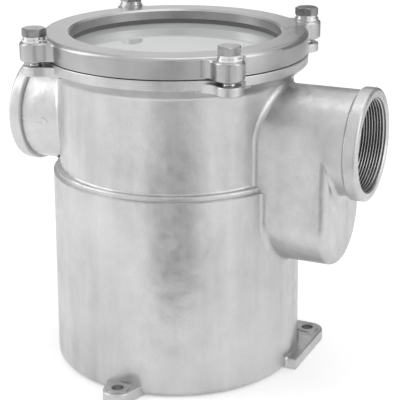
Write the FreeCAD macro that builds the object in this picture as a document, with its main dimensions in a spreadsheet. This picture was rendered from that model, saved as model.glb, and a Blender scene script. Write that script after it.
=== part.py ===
"""Sea water strainer: cast housing with two threaded ports, a bolted sight-glass cover and a hanging basket.

Millimetres. The origin is on the barrel's axis at the underside of the feet, +X points out of the
outlet, -X out of the inlet and +Z up through the sight glass.
"""

import FreeCAD, Part
import math
import os
import Sketcher

Vector = FreeCAD.Vector
Rotation = FreeCAD.Rotation
Placement = FreeCAD.Placement

doc = FreeCAD.newDocument("SeaWaterStrainer")

# ---------------------------------------------------------------- driving dimensions

DIMENSIONS = {
    # housing, outside
    "base_radius": 104.6,
    "base_round": 5.5,
    "shoulder_radius": 103.2,
    "shoulder_low": 165.2,
    "shoulder_corner": 166.4,
    "ledge_radius": 100.6,
    "ledge_high": 169.4,
    "neck_foot": 170.8,
    "neck_radius": 97.3,
    "neck_top": 246.6,
    "flange_radius": 108.4,
    "flange_low": 256.0,
    "flange_top": 263.6,
    "shoulder_round": 1.6,
    "neck_round": 3.5,
    "flange_round": 1.0,
    # housing, inside
    "floor_top": 7.0,
    "lower_bore": 98.6,
    "floor_round": 9.0,
    "ledge_underside": 158.0,
    "ledge_top": 164.0,
    "ledge_bore": 84.0,
    "upper_bore": 92.0,
    "seat_height": 256.4,
    "recess_radius": 98.6,
    # ports and side chamber
    "port_height": 202.5,
    "pipe_radius": 42.3,
    "collar_radius": 45.2,
    "collar_width": 12.0,
    "collar_round": 2.6,
    "outlet_face": 170.6,
    "inlet_face": 135.8,
    "chamber_end": 148.0,
    "chamber_half": 42.0,
    "chamber_low": 141.9,
    "chamber_round": 7.0,
    "chamber_wall": 6.0,
    "branch_fillet": 5.0,
    "pipe_foot_fillet": 3.5,
    "port_bore": 36.0,
    "thread_radius": 37.6,
    "thread_depth": 28.0,
    "mouth_chamfer": 1.0,
    # feet
    "foot_circle": 115.0,
    "foot_thickness": 9.0,
    "foot_tip_radius": 12.0,
    "foot_half_base": 17.0,
    "foot_flank": 113.0,
    "foot_flank_end": 8.0,
    "foot_corner_radius": 13.5,
    "foot_hole": 5.0,
    "foot_pad_radius": 9.0,
    "foot_pad_height": 0.8,
    "foot_edge_round": 1.5,
    "foot_blend": 2.0,
    # cover bolts and their ears
    "bolt_circle": 117.5,
    "ear_rim": 107.2,
    "ear_root": 94.3,
    "ear_radius": 10.6,
    "ear_blend": 16.0,
    "ear_low": 253.2,
    "ear_high": 261.2,
    "ear_round": 1.5,
    "tapped_radius": 5.06,
    "bolt_radius": 5.0,
    "bolt_length": 30.0,
    "head_flats": 17.0,
    "head_height": 6.4,
    "head_chamfer_radius": 8.1,
    "spring_washer_radius": 9.0,
    "spring_washer_height": 2.4,
    "spring_washer_gap": 1.6,
    "flat_washer_radius": 10.0,
    "flat_washer_height": 2.0,
    "washer_hole": 5.3,
    # cover ring
    "ring_radius": 108.2,
    "ring_low": 264.4,
    "ring_top": 281.0,
    "ring_round": 3.5,
    "lip_radius": 86.0,
    "lip_bevel_radius": 87.6,
    "lip_bevel_low": 279.4,
    "lip_underside": 272.4,
    "boss_radius": 12.0,
    "boss_blend": 9.0,
    "boss_root": 101.7,
    "boss_top": 280.0,
    "boss_round": 2.4,
    "boss_hole": 5.5,
    # glass and its gaskets
    "glass_radius": 98.0,
    "glass_thickness": 10.0,
    "glass_chamfer": 1.0,
    "seat_gasket_height": 2.0,
    "lip_gasket_height": 4.0,
    "lip_gasket_bore": 86.8,
    "seat_gasket_bore": 92.4,
    # basket
    "basket_radius": 80.0,
    "basket_sheet": 1.5,
    "wall_inner": 78.5,
    "basket_low": 22.0,
    "rim_radius": 91.0,
    "rim_height": 3.0,
    "perforation_radius": 6.0,
    "perforation_low": 40.0,
    "perforation_pitch": 27.0,
    "floor_hole_circle": 50.0,
    "floor_hole_radius": 9.0,
    # basket handle
    "bail_radius": 80.0,
    "bail_wire": 2.0,
    "bail_bend": 3.2,
    "bail_end": 86.6,
    "bail_lift": 3.0,
    "lug_start": 83.5,
    "lug_thickness": 2.0,
    "lug_radius": 5.0,
    "lug_hole": 2.06,
}

BOLT_COUNT = 4
FIRST_BOLT_ANGLE = 45
PERFORATION_COLUMNS = 16
PERFORATION_ROWS = 5
PANEL_COUNT = 4
FLOOR_HOLES = 8
BAIL_REST_TILT = 0.6
FOOT_ANGLES = (-90, 30, 150)
BOLT_HEAD_TURNS = (10, 40, 25, 55)

sheet = doc.addObject("Spreadsheet::Sheet", "Dims")
for row, (alias, number) in enumerate(DIMENSIONS.items(), start=1):
    sheet.set(f"A{row}", alias.replace("_", " "))
    sheet.set(f"B{row}", str(number))
    sheet.setAlias(f"B{row}", alias)
doc.recompute()


def size(alias):
    """Value of a cell, or 0 for a point on the axis."""
    return float(sheet.get(alias)) if alias else 0.0


def bind(obj, **expressions):
    """Binds properties to expressions; an underscore in a key stands for a dot of the property path."""
    for key, expression in expressions.items():
        obj.setExpression(key.replace("_", "."), expression)
    return obj


# ---------------------------------------------------------------- shared builders

UPRIGHT = Rotation(Vector(1, 0, 0), 90)  # a sketch's x and y become X and Z
ALONG_X = Rotation(Vector(0, 0, 1), Vector(0, 1, 0), Vector(1, 0, 0), "ZXY")  # height becomes X, seam faces up
TO_Y = Rotation(Vector(1, 0, 0), -90)  # a cylinder's height becomes Y


def cylinder(name, radius, height, base=None, rotation=None):
    """Part::Cylinder with its radius, height and base bound to expressions."""
    obj = doc.addObject("Part::Cylinder", name)
    if rotation:
        obj.Placement = Placement(Vector(), rotation)
    bind(obj, Radius=radius, Height=height)
    for axis, expression in (base or {}).items():
        obj.setExpression(f"Placement.Base.{axis}", expression)
    return obj


def box(name, length, width, height, base):
    """Part::Box bound to expressions."""
    obj = doc.addObject("Part::Box", name)
    bind(obj, Length=length, Width=width, Height=height)
    for axis, expression in base.items():
        obj.setExpression(f"Placement.Base.{axis}", expression)
    return obj


def fuse(name, shapes):
    """Refined union of several objects."""
    obj = doc.addObject("Part::MultiFuse", name)
    obj.Shapes = shapes
    obj.Refine = True
    return obj


def cut(name, base, tool):
    """Base minus tool."""
    obj = doc.addObject("Part::Cut", name)
    obj.Base = base
    obj.Tool = tool
    obj.Refine = True
    return obj


def common(name, base, tool):
    """Overlap of two objects."""
    obj = doc.addObject("Part::Common", name)
    obj.Base = base
    obj.Tool = tool
    return obj


def fillet(name, base, rounds):
    """Part::Fillet on the edges that each test picks; rounds is a list of (test, radius alias)."""
    doc.recompute()
    obj = doc.addObject("Part::Fillet", name)
    obj.Base = base
    picked = []
    for test, alias in rounds:
        found = [i for i, edge in enumerate(base.Shape.Edges, start=1) if test(edge)]
        if not found:
            raise RuntimeError(f"{name}: no edge for {alias}")
        picked += [(i, size(alias), size(alias)) for i in found]
    obj.Edges = picked
    return obj


def circle_at(radius, height):
    """Test for a full or part circle about Z with this radius at this height."""
    def test(edge):
        curve = edge.Curve
        if not isinstance(curve, Part.Circle) or abs(curve.Radius - radius) > 1e-4:
            return False
        centre = curve.Center
        return math.hypot(centre.x, centre.y) < 1e-4 and abs(centre.z - height) < 1e-4
    return test


def circle_on_x(radius, station):
    """Test for a circle about the port axis with this radius at this X."""
    def test(edge):
        curve = edge.Curve
        if not isinstance(curve, Part.Circle) or abs(curve.Radius - radius) > 1e-4:
            return False
        return abs(curve.Center.x - station) < 1e-4 and abs(curve.Center.z - size("port_height")) < 1e-4
    return test


def samples(edge):
    """Five points spread along an edge."""
    first, last = edge.ParameterRange
    return [edge.valueAt(first + (last - first) * part) for part in (0.1, 0.3, 0.5, 0.7, 0.9)]


def outline(name, corners):
    """Closed sketch in the XZ plane; each corner names the cells of its radius and height."""
    sketch = doc.addObject("Sketcher::SketchObject", name)
    sketch.Placement = Placement(Vector(), UPRIGHT)
    points = [Vector(size(x), size(y), 0) for x, y in corners]
    count = len(points)
    for index, point in enumerate(points):
        sketch.addGeometry(Part.LineSegment(point, points[(index + 1) % count]))
    for index in range(count):
        sketch.addConstraint(Sketcher.Constraint("Coincident", index, 2, (index + 1) % count, 1))
    for index, (x, y) in enumerate(corners):
        for kind, axis, alias in (("DistanceX", -2, x), ("DistanceY", -1, y)):
            if alias is None:
                sketch.addConstraint(Sketcher.Constraint("PointOnObject", index, 1, axis))
            else:
                rule = Sketcher.Constraint(kind, -1, 1, index, 1, size(alias))
                number = sketch.addConstraint(rule)
                sketch.setExpression(f"Constraints[{number}]", f"Dims.{alias}")
    return sketch


def turned(name, corners):
    """Solid of revolution about Z from an outline."""
    obj = doc.addObject("Part::Revolution", name)
    obj.Source = outline(name + "_outline", corners)
    obj.Axis = Vector(0, 0, 1)
    obj.Angle = 360
    obj.Solid = True
    return obj


def raised(name, sketch, height, base):
    """Extrudes a flat sketch upwards from a height."""
    sketch.setExpression("Placement.Base.z", base)
    obj = doc.addObject("Part::Extrusion", name)
    obj.Base = sketch
    obj.DirMode = "Custom"
    obj.Dir = Vector(0, 0, 1)
    obj.Solid = True
    bind(obj, LengthFwd=height)
    return obj


def lobe(name, rim, tip, blend, root, angle):
    """Sketch of one bolt lobe: a round tip blended into the rim by hollow arcs, and a root inside the rim."""
    rim_radius, tip_radius, blend_radius = size(rim), size(tip), size(blend)
    reach = size("bolt_circle")
    far, near = rim_radius + blend_radius, tip_radius + blend_radius
    cosine = (far**2 + reach**2 - near**2) / (2 * far * reach)
    turn = math.acos(cosine)
    sketch = doc.addObject("Sketcher::SketchObject", name)
    sketch.Placement = Placement(Vector(), Rotation(Vector(0, 0, 1), angle))
    centre = Vector(reach, 0, 0)
    tip_side = {}
    for side in (-1, 1):
        heart = Vector(far * math.cos(turn), side * far * math.sin(turn), 0)
        on_rim = heart * (rim_radius / far)
        on_tip = centre + (heart - centre) * (tip_radius / near)
        inward = ((on_rim - heart) + (on_tip - heart)).normalize() * blend_radius
        tip_side[side] = (on_rim, heart + inward, on_tip)
    right, left = tip_side[-1], tip_side[1]
    crown = centre + Vector(tip_radius, 0, 0)
    sketch.addGeometry(Part.Arc(right[0], right[1], right[2]))
    sketch.addGeometry(Part.Arc(right[2], crown, left[2]))
    sketch.addGeometry(Part.Arc(left[2], left[1], left[0]))
    buried = [point * (size(root) / rim_radius) for point in (left[0], right[0])]
    for first, last in ((left[0], buried[0]), buried, (buried[1], right[0])):
        sketch.addGeometry(Part.LineSegment(first, last))
    for index, alias in ((0, blend), (1, tip), (2, blend)):
        number = sketch.addConstraint(Sketcher.Constraint("Radius", index, size(alias)))
        sketch.setExpression(f"Constraints[{number}]", f"Dims.{alias}")
    sketch.addConstraint(Sketcher.Constraint("PointOnObject", 1, 3, -1))
    number = sketch.addConstraint(Sketcher.Constraint("DistanceX", -1, 1, 1, 3, reach))
    sketch.setExpression(f"Constraints[{number}]", "Dims.bolt_circle")
    return sketch


def lobes(name, rim, tip, blend, root, height, base, edge_round):
    """The four lobes of a flange, each with its outer edges rounded."""
    made = []
    for index in range(BOLT_COUNT):
        angle = FIRST_BOLT_ANGLE + index * 360 / BOLT_COUNT
        form = lobe(f"{name}_{index}_outline", rim, tip, blend, root, angle)
        plate = raised(f"{name}_{index}", form, height, base)
        made.append(fillet(f"{name}_{index}_rounded", plate, [(curved_level, edge_round)]))
    return made


def curved_level(edge):
    """Test for an arc that lies level."""
    return isinstance(edge.Curve, Part.Circle) and edge.BoundBox.ZLength < 1e-6


def around(index, count, radius, height=0.0):
    """Point on a circle about Z."""
    turn = math.radians(FIRST_BOLT_ANGLE + index * 360 / count)
    return Vector(radius * math.cos(turn), radius * math.sin(turn), height)


# ---------------------------------------------------------------- housing

def branch(name):
    """Outlet pipe over its side chamber: the casting's hump on the +X side, without fillets to the barrel."""
    walls = box(
        f"{name}_walls", "Dims.chamber_end", "2 * Dims.chamber_half", "Dims.port_height - Dims.chamber_low",
        {"y": "-Dims.chamber_half", "z": "Dims.chamber_low"},
    )
    belly = cylinder(f"{name}_belly", "Dims.chamber_half", "Dims.chamber_end", {"z": "Dims.chamber_low"}, ALONG_X)
    chamber = fuse(f"{name}_chamber", [walls, belly])
    end, top = size("chamber_end"), size("port_height")

    def end_edge(edge):
        limits = edge.BoundBox
        at_end = limits.XMin > end - 1e-4
        return at_end and not (limits.ZMin > top - 1e-4)

    rounded = fillet(f"{name}_rounded", chamber, [(end_edge, "chamber_round")])
    pipe = cylinder(
        f"{name}_pipe", "Dims.pipe_radius", "Dims.outlet_face - Dims.collar_width",
        {"z": "Dims.port_height"}, ALONG_X,
    )
    joined = fuse(f"{name}_joined", [rounded, pipe])
    foot = circle_on_x(size("pipe_radius"), end)
    return fillet(f"{name}_blended", joined, [(foot, "pipe_foot_fillet")])


def inlet_pipe(name):
    """Inlet pipe on the -X side, without its collar."""
    return cylinder(
        name, "Dims.pipe_radius", "Dims.inlet_face - Dims.collar_width",
        {"x": "Dims.collar_width - Dims.inlet_face", "z": "Dims.port_height"}, ALONG_X,
    )


def on_barrel(radius_at):
    """Test for an edge where a branch meets the barrel, whose radius at a height is given."""
    def test(edge):
        points = samples(edge)
        level = edge.BoundBox.ZLength < 0.5
        seam = all(abs(point.y) < 0.1 for point in points)
        near = all(abs(math.hypot(point.x, point.y) - radius_at(point.z)) < 0.05 for point in points)
        return near and not level and not seam
    return test


def joint_zone(name, core, radius_at, low, high):
    """Branches between two heights, joined and filleted to the same stretch of the barrel."""
    window = {"x": "-2 * Dims.outlet_face", "y": "-2 * Dims.outlet_face", "z": low}
    limbs = []
    for limb in (branch(f"{name}_branch"), inlet_pipe(f"{name}_inlet")):
        reach = "4 * Dims.outlet_face"
        slab = box(f"{name}_window_{len(limbs)}", reach, reach, f"{high} - {low}", window)
        limbs.append(common(f"{name}_limb_{len(limbs)}", limb, slab))
    whole = fuse(f"{name}_whole", [core, *limbs])
    return fillet(name, whole, [(on_barrel(radius_at), "branch_fillet")])


def upper_zone():
    """Branches where they leave the neck, above the shoulder."""
    core = cylinder(
        "neck_core", "Dims.neck_radius", "Dims.flange_low - Dims.shoulder_low", {"z": "Dims.shoulder_low"},
    )
    return joint_zone("upper_zone", core, lambda height: size("neck_radius"), "Dims.shoulder_low", "Dims.flange_low")


def lower_zone():
    """Branches where they leave the tapered lower barrel."""
    base, top, rise = size("base_radius"), size("shoulder_radius"), size("shoulder_low")
    core = doc.addObject("Part::Cone", "lower_core")
    foot = "4 * Dims.floor_round"
    bind(
        core, Radius2="Dims.shoulder_radius", Height=f"Dims.shoulder_low - {foot}",
        Radius1=f"Dims.base_radius - (Dims.base_radius - Dims.shoulder_radius) * {foot} / Dims.shoulder_low",
    )
    core.setExpression("Placement.Base.z", foot)
    return joint_zone(
        "lower_zone", core, lambda height: base - (base - top) * height / rise, foot, "Dims.shoulder_low",
    )


def barrel():
    """Barrel, shoulder beads, neck and flange in one turned form, solid inside."""
    form = turned("barrel", [
        (None, None),
        ("base_radius", None),
        ("shoulder_radius", "shoulder_low"),
        ("ledge_radius", "shoulder_corner"),
        ("ledge_radius", "ledge_high"),
        ("neck_radius", "neck_foot"),
        ("neck_radius", "neck_top"),
        ("flange_radius", "flange_low"),
        ("flange_radius", "flange_top"),
        (None, "flange_top"),
    ])
    return fillet("barrel_rounded", form, [
        (circle_at(size("base_radius"), 0), "base_round"),
        (circle_at(size("shoulder_radius"), size("shoulder_low")), "shoulder_round"),
        (circle_at(size("ledge_radius"), size("ledge_high")), "shoulder_round"),
        (circle_at(size("neck_radius"), size("neck_foot")), "shoulder_round"),
        (circle_at(size("neck_radius"), size("neck_top")), "neck_round"),
        (circle_at(size("flange_radius"), size("flange_low")), "flange_round"),
        (circle_at(size("flange_radius"), size("flange_top")), "flange_round"),
    ])


def collar(name, face):
    """Rounded collar round a port's mouth; its outer face is at X = face."""
    disc = cylinder(name, "Dims.collar_radius", "Dims.collar_width", {"x": face, "z": "Dims.port_height"}, ALONG_X)
    doc.recompute()
    start = disc.Placement.Base.x
    ends = [circle_on_x(size("collar_radius"), start + width) for width in (0, size("collar_width"))]
    return fillet(name + "_rounded", disc, [(end, "collar_round") for end in ends])


def flat_sketch(name, elements):
    """Sketch in the XY plane from edges laid end to end."""
    sketch = doc.addObject("Sketcher::SketchObject", name)
    for element in elements:
        sketch.addGeometry(element)
    return sketch


def front_foot():
    """Narrow lug at the front: a round tip about its hole and two slightly flared flanks."""
    reach, tip = size("foot_circle"), size("foot_tip_radius")
    half, base = size("foot_half_base"), size("base_radius") - 3 * size("foot_edge_round")
    flare = math.atan2(half - tip, reach - base)
    side = Vector(tip * math.cos(flare), -reach - tip * math.sin(flare), 0)
    mirror = Vector(-side.x, side.y, 0)
    root_right, root_left = Vector(half, -base, 0), Vector(-half, -base, 0)
    sketch = flat_sketch("front_foot_outline", [
        Part.LineSegment(root_right, side),
        Part.Arc(side, Vector(0, -reach - tip, 0), mirror),
        Part.LineSegment(mirror, root_left),
        Part.LineSegment(root_left, root_right),
    ])
    number = sketch.addConstraint(Sketcher.Constraint("Radius", 1, tip))
    sketch.setExpression(f"Constraints[{number}]", "Dims.foot_tip_radius")
    return sketch


def corner_foot(name, side):
    """Corner lug at the back, on the +X (side 1) or -X (side -1) half: two square flanks and a round corner."""
    hole = foot_hole_centre(30)
    corner, flank = size("foot_corner_radius"), size("foot_flank")
    far = hole.y + corner
    inner = size("neck_radius") / 2
    quarter = corner * math.sqrt(0.5)

    def at(x, y):
        return Vector(side * x, y, 0)

    start = at(flank, -size("foot_flank_end"))
    bend = (at(flank, hole.y), at(flank - corner + quarter, hole.y + quarter), at(flank - corner, far))
    back = at(inner, far)
    root = at(inner, -size("foot_flank_end"))
    sketch = flat_sketch(name, [
        Part.LineSegment(start, bend[0]),
        Part.Arc(*bend),
        Part.LineSegment(bend[2], back),
        Part.LineSegment(back, root),
        Part.LineSegment(root, start),
    ])
    number = sketch.addConstraint(Sketcher.Constraint("Radius", 1, corner))
    sketch.setExpression(f"Constraints[{number}]", "Dims.foot_corner_radius")
    return sketch


def foot_hole_centre(angle):
    """Centre of a foot's hole at this angle about Z."""
    turn = math.radians(angle)
    return Vector(size("foot_circle") * math.cos(turn), size("foot_circle") * math.sin(turn), 0)


def feet():
    """Three lugs with a raised pad round each hole."""
    top = size("foot_thickness")

    def top_outline(edge):
        limits = edge.BoundBox
        outside = any(math.hypot(point.x, point.y) > size("base_radius") for point in samples(edge))
        return limits.ZMin > top - 1e-4 and outside

    made = []
    sketches = [front_foot(), corner_foot("right_foot_outline", 1), corner_foot("left_foot_outline", -1)]
    for index, sketch in enumerate(sketches):
        plate = doc.addObject("Part::Extrusion", f"foot_{index}")
        plate.Base = sketch
        plate.DirMode = "Custom"
        plate.Dir = Vector(0, 0, 1)
        plate.Solid = True
        bind(plate, LengthFwd="Dims.foot_thickness")
        made.append(fillet(f"foot_{index}_rounded", plate, [(top_outline, "foot_edge_round")]))
    for index, angle in enumerate(FOOT_ANGLES):
        pad = cylinder(f"foot_pad_{index}", "Dims.foot_pad_radius", "Dims.foot_thickness + Dims.foot_pad_height")
        pad.Placement.Base = foot_hole_centre(angle)
        made.append(pad)
    return made


def foot_blend(edge):
    """Test for the hollow edges where the back feet's tops meet the barrel."""
    top = size("foot_thickness")
    limits = edge.BoundBox
    if limits.ZLength > 1e-3 or abs(limits.ZMin - top) > 1e-3 or not isinstance(edge.Curve, Part.Circle):
        return False
    drop = (size("base_radius") - size("shoulder_radius")) * top / size("shoulder_low")
    on_wall = abs(edge.Curve.Radius - (size("base_radius") - drop)) < 1e-3
    return on_wall and limits.YMin > -size("foot_circle") / 2


def inner_space():
    """Water space of the barrel: lower chamber, ledge opening, upper chamber and glass recess."""
    form = turned("inner_space", [
        (None, "floor_top"),
        ("lower_bore", "floor_top"),
        ("lower_bore", "ledge_underside"),
        ("ledge_bore", "ledge_underside"),
        ("ledge_bore", "ledge_top"),
        ("upper_bore", "ledge_top"),
        ("upper_bore", "seat_height"),
        ("recess_radius", "seat_height"),
        ("recess_radius", "ring_top"),
        (None, "ring_top"),
    ])
    return fillet("inner_space_rounded", form, [
        (circle_at(size("lower_bore"), size("floor_top")), "floor_round"),
    ])


def side_space():
    """Water space of the side chamber; it opens into the lower barrel only, below the ledge."""
    inner = "Dims.pipe_radius - Dims.chamber_wall"
    length = "Dims.chamber_end - Dims.chamber_wall"
    walls = box(
        "side_walls", length, f"2 * ({inner})", "Dims.port_height - Dims.chamber_low",
        {"y": f"-({inner})", "z": "Dims.chamber_low"},
    )
    belly = cylinder("side_belly", inner, length, {"z": "Dims.chamber_low"}, ALONG_X)
    crown = cylinder("side_crown", inner, length, {"z": "Dims.port_height"}, ALONG_X)
    solid = fuse("side_space_whole", [walls, belly, crown])
    end = size("chamber_end") - size("chamber_wall")
    rounded = fillet("side_space_rounded", solid, [(lambda edge: edge.BoundBox.XMin > end - 1e-4, "neck_round")])
    neck = cylinder(
        "neck_keepout", "Dims.neck_radius", "Dims.flange_top - Dims.ledge_underside",
        {"z": "Dims.ledge_underside"},
    )
    below = cylinder("lower_keepout", "Dims.ledge_bore", "Dims.ledge_underside")
    return cut("side_space", rounded, fuse("barrel_keepout", [neck, below]))


def port_tools():
    """Bores of both ports: smooth behind, as wide as the thread's root near the mouth, and chamfered."""
    tools = []
    ports = (("outlet", 1, "outlet_face", "chamber_end - 2 * Dims.chamber_wall"),
             ("inlet", -1, "inlet_face", "ledge_bore"))
    for name, side, face, inner in ports:
        start = f"Dims.{inner}" if side > 0 else f"-Dims.{face}"
        tools.append(cylinder(
            f"{name}_bore", "Dims.port_bore", f"Dims.{face} - Dims.{inner}",
            {"x": start, "z": "Dims.port_height"}, ALONG_X,
        ))
        start = f"Dims.{face} - Dims.thread_depth" if side > 0 else f"-Dims.{face}"
        tools.append(cylinder(
            f"{name}_thread_root", "Dims.thread_radius", "Dims.thread_depth",
            {"x": start, "z": "Dims.port_height"}, ALONG_X,
        ))
        mouth = doc.addObject("Part::Cone", f"{name}_mouth")
        mouth.Placement = Placement(Vector(), ALONG_X)
        wide, narrow = "Dims.thread_radius + Dims.mouth_chamfer", "Dims.thread_radius"
        bind(mouth, Radius1=narrow if side > 0 else wide, Radius2=wide if side > 0 else narrow,
             Height="Dims.mouth_chamfer")
        mouth.setExpression(
            "Placement.Base.x",
            f"Dims.{face} - Dims.mouth_chamfer" if side > 0 else f"-Dims.{face}",
        )
        mouth.setExpression("Placement.Base.z", "Dims.port_height")
        tools.append(mouth)
    return tools


def housing():
    """The casting: barrel, branches, collars, ears and feet, less its water space and holes."""
    ears = lobes("ear", "ear_rim", "ear_radius", "ear_blend", "ear_root", "Dims.ear_high - Dims.ear_low",
                 "Dims.ear_low", "ear_round")
    outside = fuse("casting_outside", [
        barrel(), upper_zone(), lower_zone(),
        collar("outlet_collar", "Dims.outlet_face - Dims.collar_width"),
        collar("inlet_collar", "-Dims.inlet_face"),
        *ears, *feet(),
    ])
    blended = fillet("casting_blended", outside, [(foot_blend, "foot_blend")])
    tools = [inner_space(), side_space(), *port_tools()]
    for index in range(BOLT_COUNT):
        hole = cylinder(f"tapped_hole_{index}", "Dims.tapped_radius", "Dims.flange_top")
        hole.Placement.Base = around(index, BOLT_COUNT, size("bolt_circle"), size("neck_top"))
        tools.append(hole)
    for index, angle in enumerate(FOOT_ANGLES):
        hole = cylinder(f"foot_hole_{index}", "Dims.foot_hole", "2 * Dims.foot_thickness")
        hole.Placement.Base = foot_hole_centre(angle)
        tools.append(hole)
    return cut("housing", blended, fuse("casting_tools", tools))


# ---------------------------------------------------------------- cover

def cover_ring():
    """Clamp ring over the glass, with four bosses for the bolts."""
    body = turned("ring_body", [
        ("recess_radius", "ring_low"),
        ("ring_radius", "ring_low"),
        ("ring_radius", "ring_top"),
        ("lip_bevel_radius", "ring_top"),
        ("lip_radius", "lip_bevel_low"),
        ("lip_radius", "lip_underside"),
        ("recess_radius", "lip_underside"),
    ])
    rounded = fillet("ring_rounded", body, [(circle_at(size("ring_radius"), size("ring_top")), "ring_round")])
    bosses = lobes("boss", "ring_radius", "boss_radius", "boss_blend", "boss_root",
                   "Dims.boss_top - Dims.ring_low", "Dims.ring_low", "boss_round")
    solid = fuse("ring_solid", [rounded, *bosses])
    holes = []
    for index in range(BOLT_COUNT):
        hole = cylinder(f"boss_hole_{index}", "Dims.boss_hole", "Dims.ring_top")
        hole.Placement.Base = around(index, BOLT_COUNT, size("bolt_circle"), size("neck_top"))
        holes.append(hole)
    return cut("cover_ring", solid, fuse("boss_holes", holes))


def gasket(name, bore, thickness, base):
    """Flat rubber ring under or over the glass."""
    disc = cylinder(f"{name}_disc", "Dims.glass_radius", thickness, {"z": base})
    hole = cylinder(f"{name}_hole", bore, thickness, {"z": base})
    return cut(name, disc, hole)


def sight_glass():
    """Round glass disc with its edges broken."""
    low = "Dims.seat_height + Dims.seat_gasket_height"
    disc = cylinder("glass_disc", "Dims.glass_radius", "Dims.glass_thickness", {"z": low})
    doc.recompute()
    bottom = disc.Placement.Base.z
    heights = (bottom, bottom + size("glass_thickness"))
    obj = doc.addObject("Part::Chamfer", "sight_glass")
    obj.Base = disc
    tests = [circle_at(size("glass_radius"), height) for height in heights]
    setback = size("glass_chamfer")
    obj.Edges = [
        (index, setback, setback)
        for index, edge in enumerate(disc.Shape.Edges, start=1)
        if any(test(edge) for test in tests)
    ]
    return obj


# ---------------------------------------------------------------- bolts and washers

def cover_bolt(index, foot):
    """Hexagon bolt with a chamfered head; foot is the centre of the head's underside."""
    name = f"cover_bolt_{index + 1}"
    prism = doc.addObject("Part::Prism", f"{name}_prism")
    prism.Polygon = 6
    bind(prism, Circumradius="Dims.head_flats / sqrt(3)", Height="Dims.head_height")
    dome = doc.addObject("Part::Cone", f"{name}_dome")
    bind(
        dome, Radius1="Dims.head_chamfer_radius + 2 * Dims.head_height", Height="Dims.head_height",
        Radius2="Dims.head_chamfer_radius",
    )
    head = common(f"{name}_head", prism, dome)
    shank = cylinder(f"{name}_shank", "Dims.bolt_radius", "Dims.bolt_length", {"z": "-Dims.bolt_length"})
    doc.recompute()
    tip = [(i, size("mouth_chamfer"), size("mouth_chamfer"))
           for i, edge in enumerate(shank.Shape.Edges, start=1)
           if circle_at(size("bolt_radius"), -size("bolt_length"))(edge)]
    pointed = doc.addObject("Part::Chamfer", f"{name}_shank_pointed")
    pointed.Base = shank
    pointed.Edges = tip
    bolt = fuse(name, [head, pointed])
    bolt.Placement = Placement(foot, Rotation(Vector(0, 0, 1), BOLT_HEAD_TURNS[index]))
    return bolt


def spring_washer(index, base):
    """Split lock washer."""
    name = f"spring_washer_{index + 1}"
    ring = cut(
        f"{name}_ring",
        cylinder(f"{name}_disc", "Dims.spring_washer_radius", "Dims.spring_washer_height"),
        cylinder(f"{name}_hole", "Dims.washer_hole", "Dims.spring_washer_height"),
    )
    slit = box(
        f"{name}_slit", "2 * Dims.spring_washer_radius", "Dims.spring_washer_gap", "Dims.spring_washer_height",
        {"y": "-Dims.spring_washer_gap / 2"},
    )
    washer = cut(name, ring, slit)
    washer.Placement = Placement(base, Rotation(Vector(0, 0, 1), BOLT_HEAD_TURNS[index] + 90))
    return washer


def flat_washer(index, base):
    """Plain washer on a boss."""
    name = f"flat_washer_{index + 1}"
    washer = cut(
        name,
        cylinder(f"{name}_disc", "Dims.flat_washer_radius", "Dims.flat_washer_height"),
        cylinder(f"{name}_hole", "Dims.washer_hole", "Dims.flat_washer_height"),
    )
    washer.Placement = Placement(base, Rotation())
    return washer


# ---------------------------------------------------------------- basket

def origin_plane(body, role):
    """One of a body's own origin planes."""
    return next(feature for feature in body.Origin.OriginFeatures if feature.Role == role)


def body_sketch(body, name, role, circles):
    """Sketch of bound circles on an origin plane; each circle is (x, y, radius alias)."""
    sketch = body.newObject("Sketcher::SketchObject", name)
    sketch.AttachmentSupport = [(origin_plane(body, role), "")]
    sketch.MapMode = "FlatFace"
    for x, y, alias in circles:
        index = sketch.addGeometry(Part.Circle(Vector(x, y, 0), Vector(0, 0, 1), size(alias)))
        number = sketch.addConstraint(Sketcher.Constraint("Radius", index, size(alias)))
        sketch.setExpression(f"Constraints[{number}]", f"Dims.{alias}")
    return sketch


def polar(body, feature, count):
    """Repeats a feature about the body's Z axis and makes it the body's result."""
    pattern = body.newObject("PartDesign::PolarPattern", f"{feature.Name}_pattern")
    pattern.Originals = [feature]
    pattern.Axis = (origin_plane(body, "Z_Axis"), [""])
    pattern.Angle = 360
    pattern.Occurrences = count
    body.Tip = pattern
    return pattern


def basket_sleeve():
    """Rolled sheet sleeve with rows of perforations; its columns stand clear of the panels' seams."""
    body = doc.addObject("PartDesign::Body", "basket_sleeve")
    ring = body_sketch(body, "wall_ring", "XY_Plane", [(0, 0, "basket_radius"), (0, 0, "wall_inner")])
    sleeve = body.newObject("PartDesign::Pad", "sleeve")
    sleeve.Profile = ring
    bind(sleeve, Length="Dims.ledge_top - Dims.basket_low - Dims.basket_sheet")
    doc.recompute()
    full = body.Shape.Volume
    start = size("perforation_low") - size("basket_low") - size("basket_sheet")
    column = body_sketch(body, "perforation_column", "XZ_Plane", [
        (0, start + row * size("perforation_pitch"), "perforation_radius") for row in range(PERFORATION_ROWS)
    ])
    holes = body.newObject("PartDesign::Pocket", "perforations")
    holes.Profile = column
    holes.Type = "Length"
    holes.Reversed = True
    bind(holes, Length="Dims.basket_radius + Dims.basket_sheet")
    doc.recompute()
    polar(body, holes, PERFORATION_COLUMNS)
    doc.recompute()
    if body.Shape.Volume > 0.95 * full:
        raise RuntimeError("the basket wall's perforations cut nothing")
    half_step = Rotation(Vector(0, 0, 1), 180 / PERFORATION_COLUMNS)
    body.Placement = Placement(Vector(0, 0, size("basket_low") + size("basket_sheet")), half_step)
    return body


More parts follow.
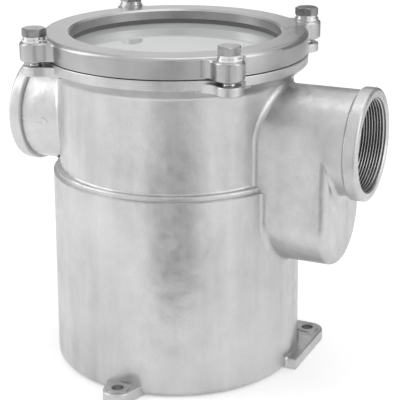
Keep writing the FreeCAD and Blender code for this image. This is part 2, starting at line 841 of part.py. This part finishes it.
def basket_walls():
    """The basket's wall as quarter panels of one sleeve, seam welded at the diagonals."""
    sleeve = basket_sleeve()
    panels = []
    for index in range(PANEL_COUNT):
        sector = box(
            f"panel_sector_{index + 1}", "2 * Dims.basket_radius", "2 * Dims.basket_radius", "Dims.ledge_top", {},
        )
        turn = Rotation(Vector(0, 0, 1), FIRST_BOLT_ANGLE + index * 360 / PANEL_COUNT)
        sector.Placement = Placement(Vector(), turn)
        panels.append(common(f"basket_wall_{index + 1}", sleeve, sector))
    return panels


def basket_floor():
    """Sheet disc closing the basket, with a ring of drain holes."""
    body = doc.addObject("PartDesign::Body", "basket_floor")
    disc = body.newObject("PartDesign::Pad", "floor_disc")
    disc.Profile = body_sketch(body, "floor_circle", "XY_Plane", [(0, 0, "basket_radius")])
    bind(disc, Length="Dims.basket_sheet")
    doc.recompute()
    full = body.Shape.Volume
    drain = body.newObject("PartDesign::Pocket", "drain_hole")
    drain.Profile = body_sketch(
        body, "drain_circle", "XY_Plane", [(size("floor_hole_circle"), 0, "floor_hole_radius")],
    )
    drain.Type = "ThroughAll"
    drain.Midplane = True
    doc.recompute()
    polar(body, drain, FLOOR_HOLES)
    doc.recompute()
    if body.Shape.Volume > 0.95 * full:
        raise RuntimeError("the basket floor's holes cut nothing")
    body.Placement = Placement(Vector(0, 0, size("basket_low")), Rotation())
    return body


def basket_rim():
    """Flat ring welded to the top of the basket wall; it hangs the basket on the housing's ledge."""
    disc = cylinder("rim_disc", "Dims.rim_radius", "Dims.rim_height", {"z": "Dims.ledge_top"})
    hole = cylinder(
        "rim_hole", "Dims.basket_radius - Dims.basket_sheet", "Dims.rim_height", {"z": "Dims.ledge_top"},
    )
    return cut("basket_rim", disc, hole)


def handle_lug(name, side):
    """Small welded tab on the rim with a hole for the bail's end, on the +Y (1) or -Y (-1) side."""
    pivot = "Dims.ledge_top + Dims.rim_height + Dims.bail_lift"
    start = "Dims.lug_start" if side > 0 else "-Dims.lug_start - Dims.lug_thickness"
    tab = cylinder(f"{name}_tab", "Dims.lug_radius", "Dims.lug_thickness", {"y": start, "z": pivot}, TO_Y)
    foot = box(
        f"{name}_foot", "2 * Dims.lug_radius", "Dims.lug_thickness", "Dims.bail_lift",
        {"x": "-Dims.lug_radius", "y": start, "z": "Dims.ledge_top + Dims.rim_height"},
    )
    trim = box(
        f"{name}_trim", "4 * Dims.lug_radius", "4 * Dims.lug_thickness", "Dims.lug_radius",
        {
            "x": "-2 * Dims.lug_radius",
            "y": f"{start} - Dims.lug_thickness",
            "z": "Dims.ledge_top + Dims.rim_height - Dims.lug_radius",
        },
    )
    blank = cut(f"{name}_blank", fuse(f"{name}_solid", [tab, foot]), trim)
    hole = cylinder(f"{name}_hole", "Dims.lug_hole", "Dims.lug_thickness", {"y": start, "z": pivot}, TO_Y)
    return cut(name, blank, hole)


def basket_handle():
    """Half-round wire bail; its turned-out ends sit in the lugs and it lies folded on the rim."""
    radius, bend, end = size("bail_radius"), size("bail_bend"), size("bail_end")
    quarter = math.sqrt(0.5)

    def at(y, x):
        return Vector(-x, y, 0)

    corner = radius + bend
    edges = [
        Part.LineSegment(at(end, 0), at(corner, 0)).toShape(),
        Part.Arc(at(corner, 0), at(corner - bend * quarter, bend * (1 - quarter)), at(radius, bend)).toShape(),
        Part.Arc(at(radius, bend), at(0, radius + bend), at(-radius, bend)).toShape(),
        Part.Arc(at(-radius, bend), at(-corner + bend * quarter, bend * (1 - quarter)), at(-corner, 0)).toShape(),
        Part.LineSegment(at(-corner, 0), at(-end, 0)).toShape(),
    ]
    path = Part.Wire(edges)
    section = Part.Wire(Part.makeCircle(size("bail_wire"), at(end, 0), Vector(0, 1, 0)))
    obj = doc.addObject("Part::Feature", "basket_handle")
    obj.Shape = path.makePipeShell([section], True, True)
    pivot = size("ledge_top") + size("rim_height") + size("bail_lift")
    obj.Placement = Placement(Vector(0, 0, pivot), Rotation(Vector(0, 1, 0), -BAIL_REST_TILT))
    return obj


# ---------------------------------------------------------------- the whole strainer

def build():
    """Makes every sub-part and returns them by node name."""
    lip_gasket_low = "Dims.seat_height + Dims.seat_gasket_height + Dims.glass_thickness"
    parts = [
        housing(),
        cover_ring(),
        sight_glass(),
        gasket("seat_gasket", "Dims.seat_gasket_bore", "Dims.seat_gasket_height", "Dims.seat_height"),
        gasket("lip_gasket", "Dims.lip_gasket_bore", "Dims.lip_gasket_height", lip_gasket_low),
        *basket_walls(),
        basket_floor(),
        basket_rim(),
        handle_lug("handle_lug_1", -1),
        handle_lug("handle_lug_2", 1),
        basket_handle(),
    ]
    for index in range(BOLT_COUNT):
        boss = around(index, BOLT_COUNT, size("bolt_circle"), size("boss_top"))
        on_flat = boss + Vector(0, 0, size("flat_washer_height"))
        on_spring = on_flat + Vector(0, 0, size("spring_washer_height"))
        parts += [flat_washer(index, boss), spring_washer(index, on_flat), cover_bolt(index, on_spring)]
    return parts


def write(parts):
    """Checks every object, then writes each sub-part to parts/NODE.step."""
    doc.recompute()
    failed = [obj.Name for obj in doc.Objects if "Invalid" in obj.State or "Error" in obj.State]
    if failed:
        raise RuntimeError(f"failed objects: {failed}")
    os.makedirs("parts", exist_ok=True)
    for part in parts:
        part.Label = part.Name
        if part.Shape.isNull() or not part.Shape.isValid():
            raise RuntimeError(f"bad shape: {part.Name}")
        print(part.Name, "solids", len(part.Shape.Solids), "volume", round(part.Shape.Volume))
        part.Shape.exportStep(f"parts/{part.Name}.step")


write(build())
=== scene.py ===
import math

import bpy
from mathutils import Matrix, Vector


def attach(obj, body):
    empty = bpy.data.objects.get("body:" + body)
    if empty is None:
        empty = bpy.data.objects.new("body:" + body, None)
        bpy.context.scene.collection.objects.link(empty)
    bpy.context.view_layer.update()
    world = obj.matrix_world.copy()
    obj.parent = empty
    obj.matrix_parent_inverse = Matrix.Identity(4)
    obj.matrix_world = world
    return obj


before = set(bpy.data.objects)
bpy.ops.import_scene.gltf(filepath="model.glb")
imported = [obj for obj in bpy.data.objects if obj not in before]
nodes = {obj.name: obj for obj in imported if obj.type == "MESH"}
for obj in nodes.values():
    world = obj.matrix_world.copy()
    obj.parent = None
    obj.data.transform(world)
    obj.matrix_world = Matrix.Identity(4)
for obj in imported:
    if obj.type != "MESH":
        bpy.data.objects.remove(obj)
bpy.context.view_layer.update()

scene = bpy.context.scene
ROOT = "strainer"
PORT_HEIGHT = 0.2025
BOLT_CIRCLE_RADIUS = 0.1175
BOLT_NUMBERS = range(1, 5)
PANEL_NUMBERS = range(1, 5)


# ---------------------------------------------------------------- node helpers

class Shader:
    """A material's node tree with short calls for what the materials below share."""

    def __init__(self, name):
        self.material = bpy.data.materials.new(name)
        self.material.use_nodes = True
        self.tree = self.material.node_tree
        self.tree.nodes.clear()
        self.output = self.add("ShaderNodeOutputMaterial")
        self.place = self.add("ShaderNodeTexCoord").outputs["Object"]

    def add(self, kind, **settings):
        node = self.tree.nodes.new(kind)
        for key, value in settings.items():
            setattr(node, key, value)
        return node

    def link(self, source, target):
        self.tree.links.new(source, target)

    def put(self, socket, value):
        """Links an output to a socket, or sets the socket's own value."""
        if isinstance(value, bpy.types.NodeSocket):
            self.link(value, socket)
        else:
            socket.default_value = value

    def scaled(self, scale):
        node = self.add("ShaderNodeMapping")
        self.link(self.place, node.inputs["Vector"])
        node.inputs["Scale"].default_value = scale
        return node.outputs["Vector"]

    def noise(self, scale, detail=2.0, rough=0.5, stretch=(1, 1, 1)):
        node = self.add("ShaderNodeTexNoise")
        self.link(self.scaled(stretch), node.inputs["Vector"])
        node.inputs["Scale"].default_value = scale
        node.inputs["Detail"].default_value = detail
        node.inputs["Roughness"].default_value = rough
        return node.outputs["Fac"]

    def rings(self, scale):
        """Noise that changes only with the distance from the Z axis: turning marks."""
        split = self.add("ShaderNodeSeparateXYZ")
        self.link(self.place, split.inputs[0])
        squares = [self.math("MULTIPLY", split.outputs[name], split.outputs[name]) for name in ("X", "Y")]
        radius = self.math("SQRT", self.math("ADD", squares[0], squares[1]))
        node = self.add("ShaderNodeTexNoise", noise_dimensions="1D")
        self.link(radius, node.inputs["W"])
        node.inputs["Scale"].default_value = scale
        node.inputs["Detail"].default_value = 3.0
        return node.outputs["Fac"]

    def math(self, operation, first, second=None):
        node = self.add("ShaderNodeMath", operation=operation)
        self.put(node.inputs[0], first)
        if second is not None:
            self.put(node.inputs[1], second)
        return node.outputs[0]

    def spread(self, value, low, high, to_low, to_high):
        """Maps a value's range to another, clamped."""
        node = self.add("ShaderNodeMapRange")
        self.link(value, node.inputs["Value"])
        for key, number in (("From Min", low), ("From Max", high), ("To Min", to_low), ("To Max", to_high)):
            node.inputs[key].default_value = number
        return node.outputs["Result"]

    def mixed(self, share, first, second):
        """Colour between two colours or colour sockets."""
        node = self.add("ShaderNodeMix", data_type="RGBA")
        self.put(node.inputs[0], share)
        self.put(node.inputs[6], first)
        self.put(node.inputs[7], second)
        return node.outputs[2]

    def bump(self, heights):
        """A chain of bumps; heights is a list of (value, distance in metres)."""
        normal = None
        for value, distance in heights:
            node = self.add("ShaderNodeBump")
            node.inputs["Strength"].default_value = 1.0
            node.inputs["Distance"].default_value = distance
            self.link(value, node.inputs["Height"])
            if normal is not None:
                self.link(normal, node.inputs["Normal"])
            normal = node.outputs["Normal"]
        return normal

    def surface(self, colour, roughness, metallic, normal=None):
        node = self.add("ShaderNodeBsdfPrincipled")
        self.put(node.inputs["Base Color"], colour)
        self.put(node.inputs["Roughness"], roughness)
        node.inputs["Metallic"].default_value = metallic
        if normal is not None:
            self.link(normal, node.inputs["Normal"])
        self.link(node.outputs[0], self.output.inputs["Surface"])
        return self.material


def grey(level, warmth=0.0):
    return (level * (1 + warmth), level, level * (1 - warmth), 1.0)


# ---------------------------------------------------------------- materials

def cast_steel():
    """Blasted and pickled stainless casting."""
    s = Shader("cast_stainless")
    waves = s.noise(26.0, 2.0, 0.5)
    dents = s.noise(120.0, 3.0, 0.55)
    grain = s.noise(1400.0, 2.0, 0.6)
    streaks = s.noise(40.0, 4.0, 0.6, (1.0, 1.0, 0.10))
    clouds = s.noise(14.0, 4.0, 0.55)
    tone = s.mixed(s.spread(clouds, 0.35, 0.65, 0.0, 1.0), grey(0.46), grey(0.60))
    tone = s.mixed(s.spread(streaks, 0.4, 0.75, 0.0, 0.6), tone, grey(0.72))
    tone = s.mixed(s.spread(grain, 0.3, 0.7, 0.0, 0.34), tone, grey(0.36))
    rough = s.spread(dents, 0.3, 0.7, 0.30, 0.44)
    normal = s.bump([(waves, 0.0019), (dents, 0.00030), (grain, 0.00005)])
    return s.surface(tone, rough, 1.0, normal)


def ring_steel():
    """Clamp ring: satin casting with turned top and rim."""
    s = Shader("turned_stainless")
    turning = s.rings(2600.0)
    clouds = s.noise(22.0, 3.0, 0.5)
    grain = s.noise(1600.0, 2.0, 0.6)
    tone = s.mixed(s.spread(clouds, 0.35, 0.65, 0.0, 1.0), grey(0.33), grey(0.45))
    tone = s.mixed(s.spread(turning, 0.35, 0.7, 0.0, 0.4), tone, grey(0.54))
    rough = s.spread(clouds, 0.3, 0.7, 0.24, 0.36)
    normal = s.bump([(clouds, 0.0005), (turning, 0.00002), (grain, 0.00002)])
    return s.surface(tone, rough, 1.0, normal)


def bright_steel(name, low, high, roughness):
    """Small bright steel goods: bolts, washers, wire."""
    s = Shader(name)
    clouds = s.noise(160.0, 3.0, 0.55)
    scratches = s.noise(900.0, 2.0, 0.5, (1.0, 1.0, 0.25))
    tone = s.mixed(s.spread(clouds, 0.35, 0.65, 0.0, 1.0), grey(low), grey(high))
    rough = s.spread(scratches, 0.3, 0.7, roughness * 0.8, roughness * 1.25)
    normal = s.bump([(scratches, 0.00002)])
    return s.surface(tone, rough, 1.0, normal)


def basket_sheet():
    """Rolled perforated sheet with a faint grain."""
    s = Shader("basket_sheet_steel")
    grain = s.noise(300.0, 3.0, 0.6, (0.2, 0.2, 1.0))
    tone = s.mixed(s.spread(grain, 0.3, 0.7, 0.0, 1.0), grey(0.58), grey(0.70))
    return s.surface(tone, s.spread(grain, 0.3, 0.7, 0.28, 0.40), 1.0, s.bump([(grain, 0.00002)]))


def rubber():
    """Grey gasket rubber."""
    s = Shader("gasket_rubber")
    grain = s.noise(1200.0, 2.0, 0.6)
    tone = s.mixed(s.spread(grain, 0.3, 0.7, 0.0, 1.0), grey(0.10), grey(0.15))
    return s.surface(tone, 0.62, 0.0, s.bump([(grain, 0.00003)]))


def pane():
    """Pale pane: a strong haze over a clear body, with mirror-like reflections. The haze is a painted
    reflection that stands in for a bright softbox reflected in the pane.
    """
    s = Shader("sight_pane_painted_reflection")
    # painted reflection: this noise varies how much of the pale veil covers the pane
    haze = s.noise(9.0, 3.0, 0.5)
    through = s.add("ShaderNodeBsdfTransparent")
    through.inputs["Color"].default_value = (0.94, 0.96, 0.955, 1.0)
    # painted reflection: a pale diffuse veil over 60 to 74 percent of the body stands in for the softbox's
    # reflection
    veil = s.add("ShaderNodeBsdfDiffuse")
    veil.inputs["Color"].default_value = (0.80, 0.81, 0.81, 1.0)
    body = s.add("ShaderNodeMixShader")
    s.link(s.spread(haze, 0.3, 0.7, 0.60, 0.74), body.inputs[0])
    s.link(through.outputs[0], body.inputs[1])
    s.link(veil.outputs[0], body.inputs[2])
    shine = s.add("ShaderNodeBsdfGlossy")
    shine.inputs["Roughness"].default_value = 0.03
    fresnel = s.add("ShaderNodeFresnel")
    fresnel.inputs["IOR"].default_value = 1.5
    face = s.add("ShaderNodeMixShader")
    s.link(fresnel.outputs[0], face.inputs[0])
    s.link(body.outputs[0], face.inputs[1])
    s.link(shine.outputs[0], face.inputs[2])
    s.link(face.outputs[0], s.output.inputs["Surface"])
    return s.material


def thread_steel():
    """Cut thread with painted light: a painted highlight on the crests, and painted shade in the roots and
    on the darker flanks.
    """
    s = Shader("thread_steel")
    split = s.add("ShaderNodeSeparateXYZ")
    s.link(s.place, split.inputs[0])
    across = s.math("MULTIPLY", split.outputs["Y"], split.outputs["Y"])
    up = s.math("SUBTRACT", split.outputs["Z"], PORT_HEIGHT)
    radius = s.math("SQRT", s.math("ADD", across, s.math("MULTIPLY", up, up)))
    # painted highlight and painted shade: grey 0.62 at the crest radius, fading to 0.16 at the root radius
    crest = s.spread(radius, 0.0361, 0.0373, 1.0, 0.0)
    grain = s.noise(700.0, 2.0, 0.5)
    tone = s.mixed(crest, grey(0.16), grey(0.62))
    normal = s.bump([(grain, 0.00002)])
    return s.surface(tone, 0.30, 1.0, normal)


CAST = cast_steel()
RING = ring_steel()
BOLT = bright_steel("bolt_steel", 0.20, 0.34, 0.20)
WASHER = bright_steel("washer_steel", 0.55, 0.72, 0.12)
WIRE = bright_steel("wire_steel", 0.62, 0.76, 0.20)
SHEET = basket_sheet()
RUBBER = rubber()
PANE = pane()
# the thread material carries a painted highlight on the crests and painted shade in the roots
THREAD = thread_steel()


def dress(name, material):
    """Gives a CAD node its material."""
    mesh = nodes[name].data
    mesh.materials.clear()
    mesh.materials.append(material)


dress("housing", CAST)
dress("cover_ring", RING)
dress("sight_glass", PANE)
for name in ("seat_gasket", "lip_gasket"):
    dress(name, RUBBER)
for name in ("basket_floor", "basket_rim", "handle_lug_1", "handle_lug_2"):
    dress(name, SHEET)
dress("basket_handle", WIRE)
for number in PANEL_NUMBERS:
    dress(f"basket_wall_{number}", SHEET)
for number in BOLT_NUMBERS:
    dress(f"cover_bolt_{number}", BOLT)
    dress(f"spring_washer_{number}", WASHER)
    dress(f"flat_washer_{number}", WASHER)


# ---------------------------------------------------------------- cut threads

def piece(name, vertices, faces, material, body):
    """Mesh piece that rides on a body."""
    mesh = bpy.data.meshes.new(name)
    mesh.from_pydata(vertices, [], faces)
    mesh.validate()
    mesh.update()
    mesh.polygons.foreach_set("use_smooth", [True] * len(mesh.polygons))
    mesh.materials.append(material)
    made = bpy.data.objects.new(name, mesh)
    scene.collection.objects.link(made)
    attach(made, body)
    return made


def closed_grid(rows):
    """Faces of a grid that wraps both ways, from equal rows of vertices."""
    count, width = len(rows), len(rows[0])
    vertices = [point for row in rows for point in row]
    faces = []
    for i in range(count):
        j = (i + 1) % count
        for k in range(width):
            m = (k + 1) % width
            faces.append((i * width + k, i * width + m, j * width + m, j * width + k))
    return vertices, faces


def ring_row(centre, radius, around, height):
    """Level ring of points about a vertical axis."""
    x, y = centre
    angles = [2 * math.pi * k / around for k in range(around)]
    return [(x + radius * math.cos(angle), y + radius * math.sin(angle), height) for angle in angles]


def port_thread(name, start, end):
    """Female G 2 1/2 thread as a liner inside the port's wall, between two stations on X."""
    pitch, depth, wall, back = 0.002309, 0.00146, 0.03757, 0.03759
    runout = 0.0012
    steps_per_turn, around = 8, 128
    steps = int(round((end - start) / pitch * steps_per_turn))
    rows = []
    for step in range(steps + 1):
        x = start + (end - start) * step / steps
        fade = min(1.0, (x - start) / runout, (end - x) / runout)
        row = []
        for k in range(around):
            turn = k / around
            phase = (x / pitch - turn) % 1.0
            crest = min(1.0, max(0.0, 1.25 * (1 - abs(2 * phase - 1)) - 0.125))
            radius = wall - depth * crest * max(0.0, fade)
            angle = 2 * math.pi * turn
            row.append((x, radius * math.cos(angle), PORT_HEIGHT + radius * math.sin(angle)))
        rows.append(row)
    angles = [2 * math.pi * k / around for k in range(around)]
    for x in (end, start):
        rows.append([(x, back * math.cos(angle), PORT_HEIGHT + back * math.sin(angle)) for angle in angles])
    vertices, faces = closed_grid(rows)
    return piece(name, vertices, faces, THREAD, ROOT)


port_thread("outlet_thread", 0.1430, 0.1694)
port_thread("inlet_thread", -0.1346, -0.1082)


def bolt_thread(number):
    """Thread turns that show on a cover bolt's shank between the ring's boss and the ear below."""
    corner = math.radians(45 + 90 * (number - 1))
    x, y = BOLT_CIRCLE_RADIUS * math.cos(corner), BOLT_CIRCLE_RADIUS * math.sin(corner)
    bottom, top = 0.26135, 0.26425
    pitch, around, steps = 0.0015, 40, 16
    root, depth, back = 0.00502, 0.00032, 0.00501
    rows = []
    for step in range(steps + 1):
        z = bottom + (top - bottom) * step / steps
        row = []
        for k in range(around):
            turn = k / around
            phase = (z / pitch - turn) % 1.0
            radius = root + depth * (1 - abs(2 * phase - 1))
            angle = 2 * math.pi * turn
            row.append((x + radius * math.cos(angle), y + radius * math.sin(angle), z))
        rows.append(row)
    rows += [ring_row((x, y), back, around, z) for z in (top, bottom)]
    vertices, faces = closed_grid(rows)
    return piece(f"bolt_thread_{number}", vertices, faces, WASHER, f"bolt_{number}")


for number in BOLT_NUMBERS:
    bolt_thread(number)


# ---------------------------------------------------------------- flow arrow

def flow_arrow():
    """Raised outline of an arrow cast on the inlet pipe, pointing into the strainer."""
    shaft, head = 0.0021, 0.0036
    tail, neck, barb, tip = -0.1232, -0.1048, -0.1044, -0.0992
    spacing = 0.0012
    upper = [(tail, shaft), (neck, shaft), (barb, head)]
    corners = [*upper, (tip, 0.0), *((x, -z) for x, z in reversed(upper))]
    radius = 0.04228
    curve = bpy.data.curves.new("flow_arrow", "CURVE")
    curve.dimensions = "3D"
    curve.bevel_depth = 0.00034
    curve.bevel_resolution = 3
    spline = curve.splines.new("POLY")
    points = []
    for index in range(len(corners) - 1):
        (x0, z0), (x1, z1) = corners[index], corners[index + 1]
        pieces = max(1, int(math.hypot(x1 - x0, z1 - z0) / spacing))
        points += [(x0 + (x1 - x0) * k / pieces, z0 + (z1 - z0) * k / pieces) for k in range(pieces)]
    points.append(corners[-1])
    spline.points.add(len(points) - 1)
    for point, (x, z) in zip(spline.points, points):
        point.co = (x, -math.sqrt(radius * radius - z * z), PORT_HEIGHT + z, 1.0)
    curve.materials.append(CAST)
    made = bpy.data.objects.new("flow_arrow", curve)
    scene.collection.objects.link(made)
    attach(made, ROOT)
    return made


flow_arrow()


# ---------------------------------------------------------------- floor, light and camera

def floor():
    s = Shader("pale_floor")
    clouds = s.noise(3.0, 2.0, 0.5)
    matt = s.add("ShaderNodeBsdfDiffuse")
    s.link(s.mixed(s.spread(clouds, 0.3, 0.7, 0.0, 1.0), grey(0.93), grey(0.96)), matt.inputs["Color"])
    path = s.add("ShaderNodeLightPath")
    seen = s.math("MAXIMUM", path.outputs["Is Camera Ray"], path.outputs["Is Glossy Ray"])
    seen = s.math("MAXIMUM", seen, path.outputs["Is Transmission Ray"])
    lift = s.add("ShaderNodeEmission")
    lift.inputs["Color"].default_value = (1, 1, 1, 1)
    s.link(s.math("MULTIPLY", seen, 0.26), lift.inputs["Strength"])
    both = s.add("ShaderNodeAddShader")
    s.link(matt.outputs[0], both.inputs[0])
    s.link(lift.outputs[0], both.inputs[1])
    s.link(both.outputs[0], s.output.inputs["Surface"])
    size = 6.0
    mesh = bpy.data.meshes.new("floor")
    corners = [(-size, -size, 0), (size, -size, 0), (size, size, 0), (-size, size, 0)]
    mesh.from_pydata(corners, [], [(0, 1, 2, 3)])
    mesh.materials.append(s.material)
    made = bpy.data.objects.new("floor", mesh)
    made.location.z = -0.0004
    scene.collection.objects.link(made)
    return made


def card(name, centre, towards, width, height, level):
    """Studio card that only reflections see."""
    s = Shader(name + "_card")
    glow = s.add("ShaderNodeEmission")
    glow.inputs["Color"].default_value = grey(level)
    s.link(glow.outputs[0], s.output.inputs["Surface"])
    mesh = bpy.data.meshes.new(name)
    w, h = width / 2, height / 2
    mesh.from_pydata([(-w, -h, 0), (w, -h, 0), (w, h, 0), (-w, h, 0)], [], [(0, 1, 2, 3)])
    mesh.materials.append(s.material)
    made = bpy.data.objects.new(name, mesh)
    made.location = centre
    made.rotation_euler = (Vector(towards) - Vector(centre)).to_track_quat("Z", "Y").to_euler()
    for flag in ("visible_camera", "visible_diffuse", "visible_shadow", "visible_transmission"):
        setattr(made, flag, False)
    scene.collection.objects.link(made)
    return made


def lamp(name, place, target, width, height, power):
    data = bpy.data.lights.new(name, "AREA")
    data.shape = "RECTANGLE"
    data.size, data.size_y, data.energy = width, height, power
    made = bpy.data.objects.new(name, data)
    made.location = place
    made.rotation_euler = (Vector(target) - Vector(place)).to_track_quat("-Z", "Y").to_euler()
    scene.collection.objects.link(made)
    return made


def sky():
    world = bpy.data.worlds.new("studio")
    scene.world = world
    world.use_nodes = True
    tree = world.node_tree
    tree.nodes.clear()
    path = tree.nodes.new("ShaderNodeLightPath")
    seen = path.outputs["Is Camera Ray"]
    for output in ("Is Glossy Ray", "Is Transmission Ray"):
        either = tree.nodes.new("ShaderNodeMath")
        either.operation = "MAXIMUM"
        tree.links.new(seen, either.inputs[0])
        tree.links.new(path.outputs[output], either.inputs[1])
        seen = either.outputs[0]
    shown = tree.nodes.new("ShaderNodeBackground")
    shown.inputs["Color"].default_value = (1, 1, 1, 1)
    shown.inputs["Strength"].default_value = 1.0
    lit = tree.nodes.new("ShaderNodeBackground")
    lit.inputs["Color"].default_value = (1, 1, 1, 1)
    lit.inputs["Strength"].default_value = 0.75
    mix = tree.nodes.new("ShaderNodeMixShader")
    tree.links.new(seen, mix.inputs[0])
    tree.links.new(lit.outputs[0], mix.inputs[1])
    tree.links.new(shown.outputs[0], mix.inputs[2])
    out = tree.nodes.new("ShaderNodeOutputWorld")
    tree.links.new(mix.outputs[0], out.inputs["Surface"])


def camera():
    data = bpy.data.cameras.new("camera")
    data.sensor_width = 36.0
    data.lens = 117.24
    data.clip_start, data.clip_end = 0.05, 20.0
    made = bpy.data.objects.new("camera", data)
    right = Vector((0.9113, 0.4118, -0.0035))
    up = Vector((-0.1310, 0.2981, 0.9455))
    forward = Vector((-0.3904, 0.8612, -0.3256))
    turn = Matrix((right, up, -forward)).transposed().to_4x4()
    made.matrix_world = Matrix.Translation((0.4506, -0.9468, 0.4944)) @ turn
    scene.collection.objects.link(made)
    scene.camera = made


scene.view_settings.view_transform = "Standard"
floor()
sky()
camera()
aim = (0.0, 0.0, 0.15)
lamp("key_left", (-1.25, -0.55, 0.9), aim, 0.7, 1.4, 6.0)
lamp("key_right", (1.25, -0.10, 0.8), aim, 0.6, 1.3, 3.5)
lamp("top", (0.1, 0.2, 1.6), aim, 0.9, 0.9, 3.0)
card("front_low", (0.24, -0.62, 0.003), (0.24, -0.62, 1.0), 0.36, 0.7, 0.40)
card("front_high", (0.50, -1.10, 0.55), aim, 0.38, 1.1, 0.40)
card("back_right", (0.35, 1.05, 0.45), aim, 1.5, 0.9, 0.28)
card("back_left", (-0.98, 0.52, 0.45), aim, 0.9, 0.9, 0.45)
